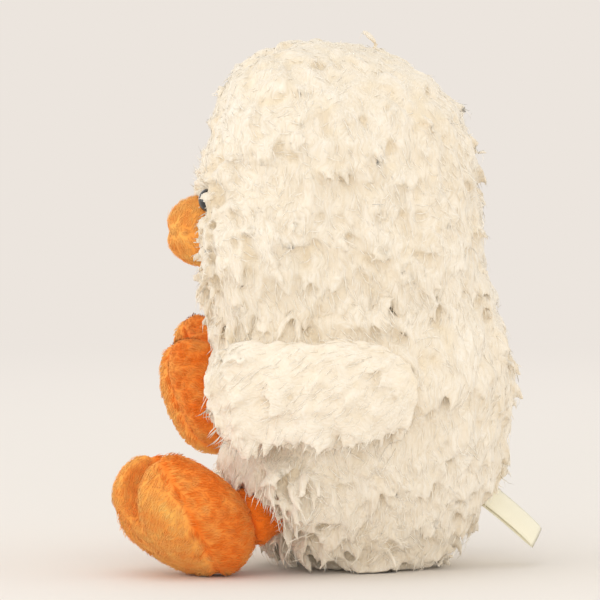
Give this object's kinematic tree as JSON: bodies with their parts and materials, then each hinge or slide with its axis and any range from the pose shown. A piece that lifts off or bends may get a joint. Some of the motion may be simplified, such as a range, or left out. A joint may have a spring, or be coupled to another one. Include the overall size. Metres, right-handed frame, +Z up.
{
  "type": "plush chick",
  "caption": "Seated stuffed toy chick with a long-pile head, body and wings, a short-pile beak, legs and webbed feet, and a folded label at the back.",
  "frame": {"origin": "middle of the flat seat under the body, on the surface that the chick sits on", "axes": "+Z up, the chick faces -Y, its left side is +X"},
  "size_m": [0.1827, 0.2183, 0.2716],
  "materials": {
    "cream_pile": "long curly polyester pile, cream",
    "wing_pile": "long brushed polyester pile, paler cream",
    "orange_plush": "short dense polyester pile, orange",
    "eye_plastic": "polished black plastic",
    "washer_plastic": "natural plastic washer",
    "label_ribbon": "woven satin ribbon, cream, plain"
  },
  "bodies": {
    "root": {"head": "cream_pile", "body": "cream_pile", "wing_left": "wing_pile", "wing_right": "wing_pile", "beak": "orange_plush", "eye_left": "eye_plastic", "eye_right": "eye_plastic", "eye_washer_left": "washer_plastic", "eye_washer_right": "washer_plastic", "leg_left": "orange_plush", "leg_right": "orange_plush", "foot_left": "orange_plush", "foot_right": "orange_plush", "sewn_in_label": "label_ribbon"}
  },
  "joints": []
}
